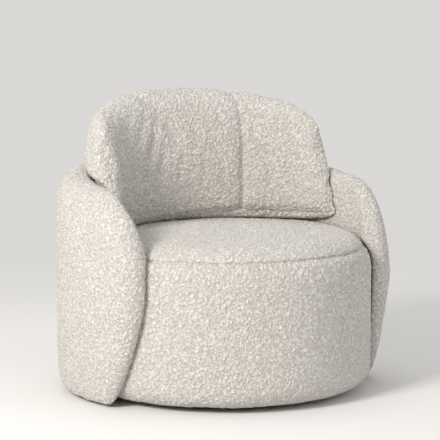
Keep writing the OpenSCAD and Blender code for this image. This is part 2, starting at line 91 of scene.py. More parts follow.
class ChairSizes(bpy.types.PropertyGroup):
    """Sizes of the upholstery, in metres."""
    seat_radius: length("Seat radius", "Radius of the round seat", 0.373)
    seat_height: length("Seat height", "Height of the seat's edge", 0.398)
    seat_crown: length("Seat crown", "Rise of the seat's middle", 0.012)
    underside: length("Underside", "Height of the seat's lower face", 0.012)
    shoulder_width: length("Shoulder width", "Width of the seat's rounded shoulder", 0.100)
    shoulder_height: length("Shoulder height", "Height of the seat's rounded shoulder", 0.096)
    foot_round: length("Foot round", "Radius of the seat's rounded foot", 0.058)
    lip_radius: length("Lip radius", "Radius at which the side cover turns in and ends", 0.298)
    cover: length("Cover", "Thickness of the looped cover", 0.004)
    seam_height: length("Seam height", "Height of the seam round the seat", 0.363)
    seam_depth: length("Seam depth", "Depth of the seam's groove", 0.0065)
    seam_half: length("Seam half width", "Half the width of the seam's groove", 0.0042)
    shell_radius: length("Shell radius", "Outer radius of the tub at the back", 0.420)
    arm_swell: length("Arm swell", "Extra outer radius of the tub at the arms", 0.009)
    inner_radius: length("Inner radius", "Inner radius of the tub above the seat", 0.325)
    tip_wall: length("Tip wall", "Inner radius of the arms above the seat at their tips", 0.350)
    crest_radius: length("Crest radius", "Radius of the line where the tub's edge peaks", 0.347)
    foot_radius: length("Foot radius", "Radius of the line where the tub's lower edge turns", 0.386)
    tip_radius: length("Tip radius", "Radius of the arms' foremost line", 0.381)
    back_height: length("Back height", "Height of the tub's edge at the back", 0.573)
    arm_height: length("Arm height", "Height of the tub's edge at the arms", 0.530)
    nose_height: length("Nose height", "Height at which the arms reach furthest forward", 0.295)
    shell_foot: length("Shell foot", "Height of the tub's lower edge", 0.006)
    side_angle: angle("Side angle", "Angle from the back at which the arms start to taper", 94)
    nose_angle: angle("Nose angle", "Angle over which the arms taper", 27.5)
    seat_gap: length("Seat gap", "Gap between the tub and the seat's side", 0.0012)
    cushion_height: length("Cushion height", "Height of the back cushion at its middle", 0.749)
    cushion_drop: length("Cushion drop", "Drop of the back cushion from its middle to its ends", 0.030)
    cushion_face: length("Cushion face", "Distance of the back cushion's flat front from the middle", 0.157)
    cushion_end: length("Cushion end", "Radius of the back cushion's front at its ends", 0.2545)
    cushion_back: length("Cushion back", "Radius of the back cushion's back face", 0.3565)
    cushion_angle: angle("Cushion angle", "Angle from the back to each end of the cushion", 96)
    tub_gap: length("Tub gap", "Gap between the back cushion and the tub", 0.0012)
    crease_x: length("Crease place", "Distance of the sewn crease from the cushion's middle", 0.145)
    crease_depth: length("Crease depth", "Depth of the valleys between the lobes", 0.006)
    inset: length("Inset", "How much smaller the back cushion starts than it ends once filled", 0.005)
    voxel: length("Voxel", "Size of the cells that the back cushion is remeshed to", 0.0062)
    tub_voxel: length("Tub voxel", "Size of the cells that the tub is remeshed to", 0.0042)
    swell_cap: length("Swell cap", "Furthest that the cloth may move when it fills", 0.010)


class ChairLook(bpy.types.PropertyGroup):
    """Colours, texture scales and lights."""
    loop_light: colour("Loop light", "Colour of the loops' tops", (0.86, 0.835, 0.795))
    # Painted shade: this colour between the loops stands in for the shade that falls in their valleys.
    loop_valley_shade: colour("Loop dark", "Colour between the loops", (0.60, 0.565, 0.515))
    loop_size: length("Loop size", "Distance between the fabric's loops", 0.0085)
    loop_height: length("Loop height", "Height of the fine relief of the fabric's loops", 0.0050)
    pile_height: length("Pile height", "Height of the raised pile of the fabric", 0.0036)
    plinth: colour("Plinth", "Colour of the plinth's edge band", (0.012, 0.012, 0.013))
    plywood: colour("Plywood", "Colour of the plywood", (0.50, 0.36, 0.21))
    steel: colour("Steel", "Colour of the plated steel", (0.55, 0.56, 0.58))
    floor: colour("Floor", "Colour of the floor", (0.83, 0.82, 0.81))
    backdrop: colour("Backdrop", "Colour that the camera sees behind the chair", (0.70, 0.69, 0.675))
    sky: number("Sky", "Strength of the studio's even light", 0.55)
    key: number("Key", "Power of the key light in watts", 190.0)
    fill: number("Fill", "Power of the fill light in watts", 30.0)
    top: number("Top", "Power of the light overhead in watts", 28.0)


def sizes():
    """Sizes of the upholstery, as set on the scene."""
    return bpy.context.scene.tub_chair_sizes


def look():
    """Colours, texture scales and lights, as set on the scene."""
    return bpy.context.scene.tub_chair_look


def bend(x, power):
    """Rounded corner of a unit square: 1 at x = 0 and 0 at x = 1."""
    return max(0.0, 1.0 - abs(x) ** power) ** (1.0 / power)


def smooth(x):
    """Eased step: 0 up to x = 0, and 1 from x = 1."""
    x = min(1.0, max(0.0, x))
    return x * x * (3.0 - 2.0 * x)


def ramp(x, start, spread):
    """Eased step that leaves 0 at start and reaches 1 at start + spread, on either side of it."""
    return smooth((x - start) / spread)


def mix(a, b, share):
    """Value between a and b."""
    return a + (b - a) * share


def hill(x, width):
    """Bell of height 1 at x = 0."""
    return math.exp(-(x / width) ** 2)


def signed_power(x, power):
    """Power of a number's size, with its sign kept."""
    return math.copysign(abs(x) ** power, x)


def unevenness(point, waves):
    """Depth of a padded surface's unevenness: each wave has a depth and a number of waves per metre."""
    return sum(depth * noise.noise(point * scale) for depth, scale in waves)


def ripple(x, pitch, point, wander):
    """Wave along x whose phase wanders: wander is how far, and with how many waves of noise per metre."""
    amount, scale = wander
    return math.sin(x / pitch + amount * noise.noise(point * scale))


def place(turn, radius, height):
    """Point at an angle from the back, positive towards +X."""
    return Vector((radius * math.sin(turn), radius * math.cos(turn), height))


# A range is where a shape starts and how far it spreads, in metres or radians.
WELD = 1e-5  # points closer than this are merged
EVENING_SHARE = 0.5  # how far a round of evening out moves a point to its neighbours' middle

# Seat
SHOULDER_POWER = 2.25
FOOT_POWER = 2.3
SEAT_STEPS = 640  # steps of a seat piece once round
ROLL_STEPS, ROLL_KEPT, ROLL_POWER = 22, 20, 1.2  # from the seam up to the shoulder
SHOULDER_STEPS = 16
CROWN_STEPS = 76
WALL_STEPS, WALL_POWER = 84, 1.25  # from the seam down to the foot, closer together at the seam
FOOT_STEPS = 22
LIP_STEPS = 4
TOP_TUCK = 0.006  # how far the top turns down and in under the seam
WALL_THICKNESS = 0.030
WALL_STEP = 0.01
INNER_LIP_RISE, INNER_LIP_INSET = 0.0025, 0.004
SEAM_GATHER_DEPTH, SEAM_GATHER_PITCH, SEAM_GATHER_WIDTH = 0.0007, math.radians(1.25), 0.011
SEAM_GATHER_WANDER = (4, 9)
SEAM_GATHER_RADIUS = 0.3  # the seam's gathers stay outside this radius
SEAT_WAVES = ((0.0016, 9), (0.0009, 24))

# Tub
TUB_GRID = (240, 160)  # cells along the tub and once round its section
TUB_ROUNDS = 6
TUB_WAVES = ((0.0022, 7), (0.0012, 21))
NOSE_SHARE = 0.82  # share of the tub's cells that lie before the arms' taper
NOSE_TOP_POWER = 2.05
NOSE_FOOT_POWER = 1.37
NOSE_FOOT_START = 0.38  # share of the taper at which an arm's foot starts to rise
TAPER_POWER = 8
TIP_WALL_RATE = 1.5
ARM_RANGE = (math.radians(60), math.radians(40))
EDGE_SINK, EDGE_SINK_TURN, EDGE_SINK_WIDTH = 0.006, math.radians(85), math.radians(28)
OUTER_TOP_POWERS, OUTER_FOOT_POWERS, OUTER_FULLNESS = (8.5, 1.45), (12.0, 1.3), 0.39  # at the back, at the arms
INNER_TOP_POWER, INNER_FOOT_POWER, INNER_FULLNESS = 10.0, 20.0, 0.5

# Back cushion
CUSHION_GRID = (160, 120)  # cells from end to end and once round the section
CUSHION_ROUNDS = (4, 2)  # of evening out, before and after it is filled
CUSHION_PRESSURE = 4.0
CUSHION_WAVES = ((0.0016, 14), (0.0009, 31))
SECTION_POWER = 4.0  # squareness of the section's lower half
TOP_POWER = 2.4  # and of its upper half
TOP_BLEND = 3  # how soon one gives way to the other
END_POWER = 5.2
FACE_POWER = 3.2
RIGHT_DROP = (math.radians(5), math.radians(105))
LEFT_DROP = (math.radians(25), math.radians(49))
END_TOP, LEFT_END_FOOT, RIGHT_END_FOOT = 0.45, 0.92, 0.84  # heights of the ends as shares of the middle's
END_THICKNESS = 0.6  # how far in from its back an end closes, as a share of half the thickness there
RIGHT_REACH = 0.985
LEAN, LEAN_RANGE = 0.1375, (0.43, 0.23)  # how much narrower the cushion is at its top
EDGE_MARGIN, EDGE_SPREAD = 0.012, 0.022  # from below the tub's edge, the cushion may swell out over it
EDGE_SWELL = 0.004
SEAT_CLEARANCE = 0.0006

# Sewing and folds of the back cushion
VALLEY_WIDTH = 0.026
BED_DEPTH, BED_WIDTH = 0.0060, 0.024
THREAD_DEPTH, THREAD_WIDTH = 0.0075, 0.0065
STITCH_TOP, STITCH_FOOT = (0.01, -0.07), (0.012, 0.02)  # from the cushion's top, and above the seat
STITCH_FRONT, STITCH_BASE = 1.4, 0.2
FOLD_DEPTHS, FOLD_WIDTH = (0.0045, 0.0125), 0.022
FOLD_TOP, FOLD_FOOT = (0.0, -0.05), (0.57, 0.10)  # from the cushion's top, and above the floor
FOLD_PLACES, FOLD_DRIFT, FOLD_DRIFT_POWER = (-0.135, -0.045), (0.735, 0.11), 0.8
DIP_DEPTH, DIP_TURN, DIP_WIDTH, DIP_FOOT = 0.0035, math.radians(53), math.radians(5), (0.66, 0.05)
TUCK_BASE = 0.009  # above the seat's edge
TUCK_LINES, TUCK_LINE_RANGE = (0.004, 0.023), (-0.16, 0.28)
TUCK_SIDE = (-0.17, 0.12)
TUCK_DEPTH, TUCK_WIDTH = 0.0055, 0.0045
UNDER_DEPTHS, UNDER_RANGE, UNDER_SPREAD = (0.007, 0.013), (0.04, 0.12), 0.012
PUCKER_DEPTH, PUCKER_PITCH, PUCKER_WANDER = 0.0024, 0.0026, (2, 20)
PUCKER_RISE, PUCKER_WIDTH = 0.012, 0.014  # above the tuck's line
PUCKER_BASE, PUCKER_CORNER, PUCKER_CORNER_WIDTH = 0.2, 0.215, 0.03
PUCKER_CREASE_SHARE, PUCKER_CREASE_WIDTH = 0.5, 0.02
END_SEAM_DEPTH, END_SEAM_WIDTH = 0.0042, math.radians(0.8)
END_SEAM_TURN, END_SEAM_DRIFT, END_SEAM_RANGE = math.radians(84.5), math.radians(8.5), (0.66, -0.13)
END_SEAM_RADIUS = (0.295, 0.01)
GATHER_DEPTH, GATHER_PITCH, GATHER_WANDER = 0.0008, 0.0042, (3, 30)
GATHER_OFFSET, GATHER_WIDTH = 0.014, 0.010  # from the sewn crease
HOLD_HEIGHT = 0.035  # above the seat, where the cloth is held underneath
HOLD_CREASE_WIDTH, HOLD_FOLD_WIDTH, HOLD_FOLD_SHARE, HOLD_FOLD_FOOT = 0.006, 0.008, 0.8, (0.60, 0.08)

# Cloth
CLOTH_FRAMES = 20
LEAST_HOLD = 0.01

# Fabric and stage
POLE_CLEAR = (0.008, 0.03)  # the pile fades out towards the turning axis, where a turned mesh is dense
PILE_MIDDLE = 0.5
PUFF_SHARE, CURL_SHARE = 0.62, 0.38
FLOOR_HALF = 40.0
FADE_START, FADE_END = 0.9, 3.2  # distances over which the floor fades into the backdrop
CHAIR_MIDDLE, CHAIR_TOP = (0, 0, 0.35), (0, 0, 0.4)  # where the lamps point
CAMERA_PLACE = (-2.6, -4.503, 1.078)
CAMERA_TILT, CAMERA_TURN = math.radians(90 - 7.16), math.radians(-30 + 0.097)
CAMERA_LENS, CAMERA_SENSOR, CAMERA_REACH = 169.67, 36.0, 100.0


def seat_side_radius(height):
    """Radius of the seat's side at a height."""
    s = sizes()
    start = s.seat_height - s.shoulder_height
    if height < start:
        return s.seat_radius
    share = min(1.0, (height - start) / s.shoulder_height)
    return s.seat_radius - s.shoulder_width + s.shoulder_width * bend(share, SHOULDER_POWER)


def seat_top_height(radius):
    """Height of the seat's surface at a radius."""
    s = sizes()
    crown_radius = s.seat_radius - s.shoulder_width
    if radius < crown_radius:
        return s.seat_height + s.seat_crown * (1.0 - (radius / crown_radius) ** 2)
    share = min(1.0, (radius - crown_radius) / s.shoulder_width)
    return s.seat_height - s.shoulder_height * (1.0 - bend(share, SHOULDER_POWER))


def taper(turn):
    """How far along an arm's taper an angle is, from 0 to 1."""
    s = sizes()
    return min(1.0, max(0.0, abs(turn) - s.side_angle) / s.nose_angle)


def shell_top_height(turn):
    """Height of the tub's edge at an angle. The edge sinks a little near the arms, where the angle is positive."""
    s = sizes()
    sink = EDGE_SINK * hill(turn - EDGE_SINK_TURN, EDGE_SINK_WIDTH)
    if abs(turn) < s.side_angle:
        rise = 1.0 - (turn / s.side_angle) ** 2
        return s.arm_height + (s.back_height - s.arm_height) * rise - sink
    return mix(s.nose_height, s.arm_height - sink, bend(taper(turn), NOSE_TOP_POWER))


def shell_foot_height(turn):
    """Height of the tub's lower edge at an angle."""
    s = sizes()
    share = max(0.0, (taper(turn) - NOSE_FOOT_START) / (1.0 - NOSE_FOOT_START))
    return mix(s.nose_height, s.shell_foot, bend(share, NOSE_FOOT_POWER))


def shell_wall_radius(height, tip):
    """Radius of the tub's inner wall at a height; tip runs from 0 at the arms' start to 1 at their tips."""
    s = sizes()
    wall = mix(s.inner_radius, s.tip_wall, smooth(TIP_WALL_RATE * tip))
    if height > s.seat_height:
        return wall
    return max(wall, seat_side_radius(height) + s.seat_gap)


def shell_section(turn, rise, outside):
    """Radius and height on the tub's section; rise runs from -1 at the foot to 1 at the top.

    Both sides of the tub share a section, so the angle is positive on both.
    """
    s = sizes()
    t = taper(turn)
    arm = ramp(abs(turn), *ARM_RANGE)
    w = abs(rise)
    top_side = rise > 0
    height = mix(s.nose_height, (shell_top_height if top_side else shell_foot_height)(turn), w)
    top_radius = mix(s.crest_radius, s.tip_radius, t)
    low_radius = mix(s.foot_radius, s.tip_radius, t)
    middle = (top_radius + low_radius) / 2
    edge = mix(middle, top_radius if top_side else low_radius, smooth(w))
    depth = math.sqrt(max(0.0, 1.0 - t ** TAPER_POWER))
    if outside:
        face = s.shell_radius + s.arm_swell * arm
        power = mix(*(OUTER_TOP_POWERS if top_side else OUTER_FOOT_POWERS), arm)
        fullness = max(0.0, 1.0 - w ** power) ** OUTER_FULLNESS
    else:
        face = shell_wall_radius(height, t)
        power = INNER_TOP_POWER if top_side else INNER_FOOT_POWER
        fullness = max(0.0, 1.0 - w ** power) ** INNER_FULLNESS
    return mix(edge, face, depth * fullness), height


def shell_surface(u, v):
    """Point on the tub: u runs from arm to arm, -1 to 1, and v once round the section, 0 to 1."""
    s = sizes()
    share = abs(u)
    if share < NOSE_SHARE:
        turn = s.side_angle * share / NOSE_SHARE
    else:
        turn = s.side_angle + s.nose_angle * math.sin(math.pi / 2 * (share - NOSE_SHARE) / (1 - NOSE_SHARE))
    radius, height = shell_section(turn, -math.cos(2 * math.pi * v), v < 0.5)
    return place(math.copysign(turn, u), radius, height)


def cushion_top(turn):
    """Height of the back cushion's top at an angle: it sinks towards its ends, sooner on the left."""
    s = sizes()
    return s.cushion_height - s.cushion_drop * (ramp(turn, *RIGHT_DROP) + ramp(-turn, *LEFT_DROP))


def cushion_face_radius(turn):
    """Radius of the cushion's front at an angle: flat across the middle and round the tub at its ends."""
    s = sizes()
    middle = (s.cushion_end / s.cushion_face) ** FACE_POWER - 1.0
    return s.cushion_end / (1.0 + middle * max(0.0, math.cos(turn)) ** FACE_POWER) ** (1.0 / FACE_POWER)


def cushion_surface(u, v):
    """Point on the back cushion before it is filled: u from end to end, v once round the section."""
    s = sizes()
    share = math.sin(math.pi / 2 * u)
    end = math.sqrt(max(0.0, 1.0 - abs(share) ** END_POWER))
    power = mix(SECTION_POWER, TOP_POWER, smooth(math.sin(2 * math.pi * v) * TOP_BLEND))
    x = signed_power(math.cos(2 * math.pi * v), 2 / power)
    y = signed_power(math.sin(2 * math.pi * v), 2 / power)
    top = cushion_top(s.cushion_angle * share) - s.inset
    middle = (top + s.seat_height) / 2
    left = share < 0
    end_height = END_TOP if y > 0 else (LEFT_END_FOOT if left else RIGHT_END_FOOT)
    height = middle + (middle - s.seat_height) * y * mix(end_height, 1.0, end)
    turn = s.cushion_angle * share * (1.0 - LEAN * ramp(height, *LEAN_RANGE))
    turn *= 1.0 if left else RIGHT_REACH
    front = cushion_face_radius(turn) + s.inset
    back = s.cushion_back - s.inset
    half = (back - front) / 2
    radius = back - half * mix(END_THICKNESS, 1.0, end) + x * end * half
    return settle(place(turn, radius, height))


def settle(point):
    """Keeps a point of the back cushion inside the tub and above the seat."""
    s = sizes()
    turn = math.atan2(point.x, point.y)
    radius = math.hypot(point.x, point.y)
    wall = s.inner_radius - s.tub_gap
    over = ramp(point.z, shell_top_height(turn) - EDGE_MARGIN, EDGE_SPREAD)
    radius = min(radius, mix(wall, s.cushion_back + EDGE_SWELL, over))
    floor = seat_top_height(radius) + SEAT_CLEARANCE
    return place(turn, radius, max(point.z, floor))


def surface_mesh(name, across, around, surface):
    """Closed mesh over a surface of two shares, its ends and its seam welded."""
    bm = bmesh.new()
    bmesh.ops.create_grid(bm, x_segments=across, y_segments=around, size=1.0)
    for vert in bm.verts:
        vert.co = surface(vert.co.x, 0.5 + 0.5 * vert.co.y)
    bmesh.ops.remove_doubles(bm, verts=bm.verts, dist=WELD)
    bmesh.ops.dissolve_degenerate(bm, edges=bm.edges, dist=WELD)
    return finished(name, bm)


def finished(name, bm):
    """Object made of a bmesh, with its normals outwards and its faces smooth."""
    bmesh.ops.recalc_face_normals(bm, faces=bm.faces)
    mesh = bpy.data.meshes.new(name)
    bm.to_mesh(mesh)
    bm.free()
    mesh.shade_smooth()
    piece = bpy.data.objects.new(name, mesh)
    bpy.context.scene.collection.objects.link(piece)
    return piece


def turned(name, outline):
    """Closed piece turned round the Z axis from a closed outline of (radius, height) points."""
    bm = bmesh.new()
    verts = [bm.verts.new((radius, 0.0, height)) for radius, height in outline]
    edges = [bm.edges.new(pair) for pair in zip(verts, verts[1:] + verts[:1])]
    bmesh.ops.spin(
        bm, geom=verts + edges, cent=(0, 0, 0), axis=(0, 0, 1), dvec=(0, 0, 0),
        angle=2 * math.pi, steps=SEAT_STEPS, use_merge=True, use_duplicate=False)
    bmesh.ops.remove_doubles(bm, verts=bm.verts, dist=WELD)
    bmesh.ops.dissolve_degenerate(bm, edges=bm.edges, dist=WELD)
    return finished(name, bm)


def loop_depth(point, normal):
    """Depth of the raised pile at a point: low between its loops."""
    l = look()
    clear = ramp(math.hypot(point.x, point.y), *POLE_CLEAR)
    return clear * l.pile_height * (noise.voronoi(point / l.loop_size)[0][0] - PILE_MIDDLE)


def select_only(piece):
    """Makes a piece the active object and the only one selected."""
    for other in bpy.context.view_layer.objects:
        other.select_set(False)
    piece.select_set(True)
    bpy.context.view_layer.objects.active = piece


def apply_modifier(piece, modifier):
    """Applies one of a piece's modifiers to its mesh."""
    select_only(piece)
    bpy.ops.object.modifier_apply(modifier=modifier.name)


def remesh(piece, voxel):
    """Rebuilds a piece as one closed mesh of even cells."""
    cells = piece.modifiers.new("Cells", "REMESH")
    cells.mode = "VOXEL"
    cells.voxel_size = voxel
    cells.use_smooth_shade = True
    apply_modifier(piece, cells)


def fill_with_cloth(piece, pressure, cap, held):
    """Fills a remeshed pad with cloth pressure, holds it where held(point) is 1, and caps each move."""
    scene = bpy.context.scene
    start = [vert.co.copy() for vert in piece.data.vertices]
    group = piece.vertex_groups.new(name="held")
    for vert in piece.data.vertices:
        weight = held(vert.co)
        if weight > LEAST_HOLD:
            group.add([vert.index], min(1.0, weight), "REPLACE")
    cloth = piece.modifiers.new("Cloth", "CLOTH")
    settings = cloth.settings
    settings.quality = 5
    settings.mass = 0.4
    settings.tension_stiffness = 12
    settings.compression_stiffness = 12
    settings.shear_stiffness = 6
    settings.bending_stiffness = 3
    settings.use_pressure = True
    settings.uniform_pressure_force = pressure
    settings.vertex_group_mass = "held"
    settings.effector_weights.gravity = 0
    cloth.point_cache.frame_start = 1
    cloth.point_cache.frame_end = CLOTH_FRAMES
    for step in range(1, CLOTH_FRAMES + 1):
        scene.frame_set(step)
    apply_modifier(piece, cloth)
    scene.frame_set(1)
    for vert, before in zip(piece.data.vertices, start):
        move = vert.co - before
        if move.length > cap:
            vert.co = before + move.normalized() * cap
    piece.vertex_groups.clear()


def relax(piece, rounds):
    """Evens a remeshed surface out."""
    bm = bmesh.new()
    bm.from_mesh(piece.data)
    for _ in range(rounds):
        bmesh.ops.smooth_vert(
            bm, verts=bm.verts, factor=EVENING_SHARE, use_axis_x=True, use_axis_y=True, use_axis_z=True)
    bm.to_mesh(piece.data)
    bm.free()


def carve(piece, depth):
    """Moves each point in along its normal by depth(point, normal), and out where that is negative."""
    normals = [vert.normal.copy() for vert in piece.data.vertices]
    for vert, normal in zip(piece.data.vertices, normals):
        vert.co -= normal * depth(vert.co, normal)


def subdivide(piece):
    """Splits each face of a piece in four, rounding it."""
    finer = piece.modifiers.new("Finer", "SUBSURF")
    finer.levels = 1
    finer.render_levels = 1
    apply_modifier(piece, finer)
    piece.data.shade_smooth()


def right_crease(point):
    """Distance from a point of the back cushion to its sewn right crease."""
    return point.x - sizes().crease_x


def left_fold(point):
    """Distance from a point of the back cushion to its soft left fold, which drifts to the middle as it falls."""
    top, spread = FOLD_DRIFT
    fall = min(1.0, max(0.0, (top - point.z) / spread))
    return point.x - mix(*FOLD_PLACES, fall ** FOLD_DRIFT_POWER)


def crease_carving(point, front):
    """Depth of the sewn right crease: a valley between two lobes on top, a stitched line in a bed on the front."""
    s = sizes()
    crease = right_crease(point)
    valley = s.crease_depth * hill(crease, VALLEY_WIDTH)
    stitch = BED_DEPTH * hill(crease, BED_WIDTH) + THREAD_DEPTH * hill(crease, THREAD_WIDTH)
    share = ramp(point.z - s.cushion_height, *STITCH_TOP) * min(1.0, STITCH_FRONT * front + STITCH_BASE)
    return mix(valley, stitch, share) * ramp(point.z - s.seat_height, *STITCH_FOOT)


def fold_carving(point, turn):
    """Depth of the soft left fold and of the dip in the top of the right lobe."""
    fold = mix(*FOLD_DEPTHS, ramp(point.z - sizes().cushion_height, *FOLD_TOP)) * ramp(point.z, *FOLD_FOOT)
    dip = DIP_DEPTH * hill(turn - DIP_TURN, DIP_WIDTH) * ramp(point.z, *DIP_FOOT)
    return fold * hill(left_fold(point), FOLD_WIDTH) + dip


def tuck_carving(point, front):
    """Depth of the tuck along the cushion's bottom, with its puckers, and of the recess under it."""
    side = ramp(point.x, *TUCK_SIDE) * front
    line = mix(*TUCK_LINES, ramp(point.x, *TUCK_LINE_RANGE))
    above = point.z - sizes().seat_height - TUCK_BASE - line
    under = mix(*UNDER_DEPTHS, ramp(point.x, *UNDER_RANGE))
    tuck = TUCK_DEPTH * hill(above, TUCK_WIDTH) + under * ramp(above, 0.0, -UNDER_SPREAD)
    pucker = ripple(point.x, PUCKER_PITCH, point, PUCKER_WANDER) * hill(above - PUCKER_RISE, PUCKER_WIDTH)
    near = hill(point.x - PUCKER_CORNER, PUCKER_CORNER_WIDTH)
    near += PUCKER_CREASE_SHARE * hill(right_crease(point), PUCKER_CREASE_WIDTH)
    return side * (tuck + PUCKER_DEPTH * pucker * (PUCKER_BASE + near))


def end_carving(point, turn):
    """Depth of the seam round each end of the cushion."""
    ridge = END_SEAM_TURN + END_SEAM_DRIFT * ramp(point.z, *END_SEAM_RANGE)
    outer = ramp(math.hypot(point.x, point.y), *END_SEAM_RADIUS)
    return END_SEAM_DEPTH * outer * hill(abs(turn) - ridge, END_SEAM_WIDTH)


def gather_carving(point, front):
    """Depth of the small gathers along both sides of the sewn crease."""
    near = hill(abs(right_crease(point)) - GATHER_OFFSET, GATHER_WIDTH)
    return GATHER_DEPTH * ripple(point.z, GATHER_PITCH, point, GATHER_WANDER) * near * front


def cushion_carving(point, normal):
    """Depth of the creases, folds, tuck and seams of the back cushion at a point."""
    turn = math.atan2(point.x, point.y)
    front = max(0.0, -(normal.x * math.sin(turn) + normal.y * math.cos(turn)))
    sewn = crease_carving(point, front) + fold_carving(point, turn) + tuck_carving(point, front)
    sewn += end_carving(point, turn) + gather_carving(point, front)
    return sewn + unevenness(point, CUSHION_WAVES)


def cushion_hold(point):
    """1 where the cloth of the back cushion is held: along its creases and underneath."""
    if point.z < sizes().seat_height + HOLD_HEIGHT:
        return 1.0
    crease = hill(right_crease(point), HOLD_CREASE_WIDTH)
    fold = hill(left_fold(point), HOLD_FOLD_WIDTH) * ramp(point.z, *HOLD_FOLD_FOOT)
    return max(crease, HOLD_FOLD_SHARE * fold)


def build_cushion():
    """Back cushion: shaped, filled with cloth, settled in the tub, then sewn."""
    s = sizes()
    before, after = CUSHION_ROUNDS
    piece = surface_mesh("back_cushion", *CUSHION_GRID, cushion_surface)
    remesh(piece, s.voxel)
    relax(piece, before)
    fill_with_cloth(piece, CUSHION_PRESSURE, s.swell_cap, cushion_hold)
    for vert in piece.data.vertices:
        vert.co = settle(vert.co)
    relax(piece, after)
    carve(piece, cushion_carving)
    subdivide(piece)
    carve(piece, loop_depth)
    dress(piece, "cushion_boucle", 0.8, "back_cover", "back_foam")


def seat_ripple(point, normal):
    """Unevenness of the padded seat, with small gathers along its seam."""
    s = sizes()
    turn = math.atan2(point.x, point.y)
    outer = math.hypot(point.x, point.y) > SEAM_GATHER_RADIUS
    near = hill(point.z - s.seam_height, SEAM_GATHER_WIDTH) if outer else 0.0
    gather = ripple(turn, SEAM_GATHER_PITCH, point, SEAM_GATHER_WANDER) * near
    return SEAM_GATHER_DEPTH * gather + unevenness(point, SEAT_WAVES)


def seam_radius(height):
    """Radius of the seat's side, drawn in along the seam."""
    s = sizes()
    return seat_side_radius(height) - s.seam_depth * hill(height - s.seam_height, s.seam_half)


def seat_top_outline():
    """Section of the seat's top: tucked under its seam, rolled over the shoulder and crowned."""
    s = sizes()
    seam = s.seam_height
    low = seam - TOP_TUCK
    inner = seam_radius(seam) - TOP_TUCK
    outline = [(0.0, low), (inner / 2, low), (inner, low)]
    rise = s.seat_height - seam
    roll = [seam + rise * (i / ROLL_STEPS) ** ROLL_POWER for i in range(ROLL_KEPT)]
    outline += [(seam_radius(z), z) for z in roll]
    edge = s.seat_radius - s.shoulder_width
    start = seam_radius(roll[-1])
    radii = [mix(start, edge, i / SHOULDER_STEPS) for i in range(1, SHOULDER_STEPS)]
    radii += [edge * (1 - i / CROWN_STEPS) for i in range(CROWN_STEPS + 1)]
    outline += [(r, seat_top_height(r)) for r in radii]
    return outline


def seat_side_outline():
    """Section of the seat's side: down from its seam, round the foot, in to its lip and up inside."""
    s = sizes()
    seam = s.seam_height
    low = s.underside
    foot = low + s.foot_round
    wall = [seam - (seam - foot) * (i / WALL_STEPS) ** WALL_POWER for i in range(WALL_STEPS + 1)]
    outline = [(seam_radius(z), z) for z in wall]
    corner = s.seat_radius - s.foot_round
    for i in range(1, FOOT_STEPS):
        share = math.pi / 2 * i / FOOT_STEPS
        outline.append((
            corner + s.foot_round * math.cos(share) ** (2 / FOOT_POWER),
            foot - s.foot_round * math.sin(share) ** (2 / FOOT_POWER)))
    outline += [(mix(corner, s.lip_radius, i / LIP_STEPS), low) for i in range(LIP_STEPS + 1)]
    inner = s.seat_radius - WALL_THICKNESS
    lip = seam + INNER_LIP_RISE
    outline += [(s.lip_radius, low + s.cover), (corner, low + s.cover), (inner, foot)]
    outline += [(inner, seam - WALL_STEP), (inner, lip), (seam_radius(seam) - INNER_LIP_INSET, lip)]
    return outline


def build_seat():
    """Seat: its top and its side, which meet at the seam."""
    top = turned("seat_top", seat_top_outline())
    side = turned("seat_side", seat_side_outline())
    for piece in (top, side):
        carve(piece, seat_ripple)
        carve(piece, loop_depth)
    dress(top, "seat_boucle", 0.9, "seat_top_cover", "seat_foam")
    dress(side, "seat_boucle", 0.9, "seat_side_cover", "side_foam")


def tub_ripple(point, normal):
    """Unevenness of the padded tub."""
    return unevenness(point, TUB_WAVES)


def build_tub():
    """Tub with its two arms."""
    piece = surface_mesh("tub", *TUB_GRID, shell_surface)
    remesh(piece, sizes().tub_voxel)
    relax(piece, TUB_ROUNDS)
    carve(piece, tub_ripple)
    carve(piece, loop_depth)
    dress(piece, "shell_boucle", 0.9, "shell_cover", "shell_outer_foam", "shell_inner_foam")


def dress(piece, slot, fill, *nodes):
    """Sets a padded piece on the chair's turning body in place of CAD nodes, with the looped fabric."""
    piece.data.materials.clear()
    piece.data.materials.append(boucle())
    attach(piece, "chair")
    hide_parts(*nodes)


def node(tree, kind, **values):
    """Node with attributes set from keywords."""
    made = tree.nodes.new(kind)
    for name, value in values.items():
        setattr(made, name, value)
    return made


def ranged(tree, value, low, high, start, end):
    """Value mapped from low..high to start..end, and held there beyond them."""
    made = node(tree, "ShaderNodeMapRange")
    for name, number_ in (("From Min", low), ("From Max", high), ("To Min", start), ("To Max", end)):
        made.inputs[name].default_value = number_
    tree.links.new(value, made.inputs["Value"])
    return made.outputs["Result"]


def worked(tree, operation, first, second):
    """Result of a Math node on two values or sockets."""
    made = node(tree, "ShaderNodeMath", operation=operation)
    for socket, value in zip(made.inputs, (first, second)):
        if isinstance(value, (int, float)):
            socket.default_value = value
        else:
            tree.links.new(value, socket)
    return made.outputs[0]


